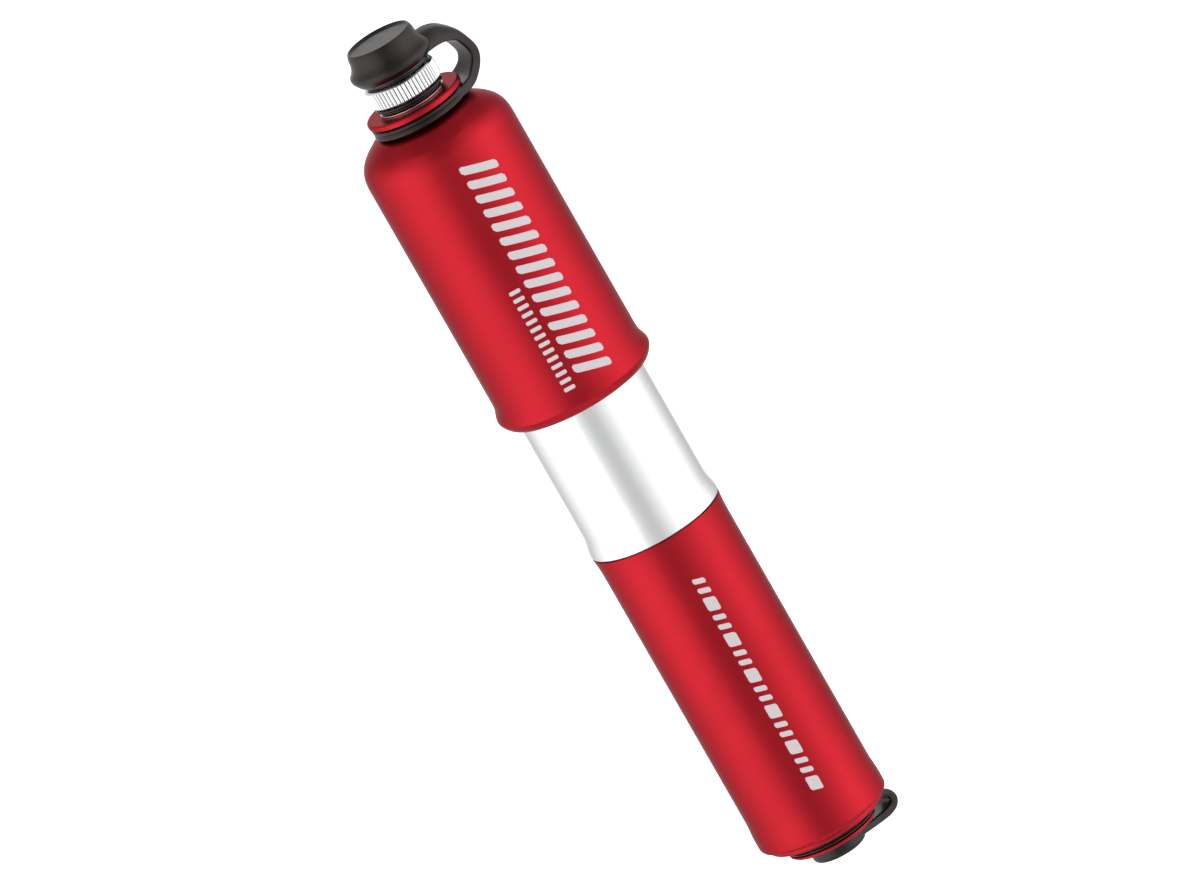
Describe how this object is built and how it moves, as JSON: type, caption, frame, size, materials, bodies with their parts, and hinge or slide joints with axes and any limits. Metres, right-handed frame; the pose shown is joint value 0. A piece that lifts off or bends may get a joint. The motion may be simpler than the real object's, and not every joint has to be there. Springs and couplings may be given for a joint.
{
  "type": "bicycle mini pump",
  "caption": "Telescopic bicycle hand pump with an overlapping handle, a flexible hose stored in its hollow rod, and tethered rubber caps.",
  "frame": {"origin": "on the pump's axis, on the lower rubber plug's flat end face, at the centre of the bottom of the bounding box", "axes": "+Z along the pump's axis towards the rubber cap; both rubber straps loop out on the +X side"},
  "size_m": [0.0324, 0.0324, 0.1825],
  "materials": {
    "red_anodised": "satin red anodised",
    "polished_aluminium": "polished",
    "machined_aluminium": "machined",
    "black_rubber": "satin black",
    "hose_rubber": "satin black",
    "soft_rubber": "matte black",
    "white_nylon": "matte off-white",
    "brass": "machined",
    "spring_steel": "drawn wire"
  },
  "bodies": {
    "lower_tube": {"barrel_tube": "polished_aluminium", "grip_sleeve": "red_anodised", "end_cap": "red_anodised", "end_cap_oring": "soft_rubber", "port_gasket": "soft_rubber", "valve_seat": "brass", "valve_spring": "spring_steel", "rod_gland": "machined_aluminium", "rod_bushing": "white_nylon", "rod_wiper": "soft_rubber"},
    "outlet_valve": {"valve_poppet": "brass"},
    "plug_swivel_ring": {"plug_ring": "black_rubber"},
    "outlet_plug": {"port_plug": "black_rubber", "plug_strap": "black_rubber"},
    "handle": {"handle_shell": "red_anodised", "neck_fitting": "red_anodised", "rod_head": "machined_aluminium", "bump_washer": "soft_rubber", "piston_rod": "machined_aluminium", "piston_head": "machined_aluminium", "piston_seal": "soft_rubber", "wear_ring": "white_nylon"},
    "cap_swivel_ring": {"cap_ring": "black_rubber"},
    "strap": {"cap_strap": "black_rubber"},
    "cap": {"top_cap": "black_rubber"},
    "seal": {"hose_seal": "black_rubber"},
    "hose": {"hose_collar": "polished_aluminium", "chuck_gasket": "soft_rubber", "upper_ferrule": "machined_aluminium", "hose_tube": "hose_rubber", "lower_ferrule": "machined_aluminium", "hose_end": "machined_aluminium"}
  },
  "joints": [
    {"name": "pump_stroke", "type": "slide", "parent": "lower_tube", "child": "handle", "axis": [0, 0, 1], "range_m": [-0.0303, 0.0535]},
    {"name": "cap_swivel", "type": "hinge", "parent": "handle", "child": "cap_swivel_ring", "pos_m": [0, 0, 0.1668], "axis": [0, 0, 1], "continuous": true},
    {"name": "strap_lift", "type": "slide", "parent": "cap_swivel_ring", "child": "strap", "axis": [0, 0, 1], "range_m": [0, 0.003]},
    {"name": "cap_pull", "type": "slide", "parent": "strap", "child": "cap", "axis": [0, 0, 1], "range_m": [0, 0.008]},
    {"name": "hose_rise", "type": "slide", "parent": "handle", "child": "seal", "axis": [0, 0, 1], "range_m": [0, 0.003]},
    {"name": "hose_turn", "type": "hinge", "parent": "seal", "child": "hose", "pos_m": [0, 0, 0.171], "axis": [0, 0, 1], "range_deg": [0, 1080]},
    {"name": "plug_swivel", "type": "hinge", "parent": "lower_tube", "child": "plug_swivel_ring", "pos_m": [0, 0, 0.005], "axis": [0, 0, 1], "continuous": true},
    {"name": "plug_pull", "type": "slide", "parent": "plug_swivel_ring", "child": "outlet_plug", "axis": [0, 0, -1], "range_m": [0, 0.008]},
    {"name": "valve_lift", "type": "slide", "parent": "lower_tube", "child": "outlet_valve", "axis": [0, 0, -1], "range_m": [0, 0.0008], "stiffness_N_per_m": 60, "springref_m": -0.001, "deforming": ["valve_spring"]}
  ],
  "couplings": [
    {"joint": "strap_lift", "follows": "hose_turn", "m_per_rad": 0.000159},
    {"joint": "hose_rise", "follows": "hose_turn", "m_per_rad": 0.000159}
  ]
}
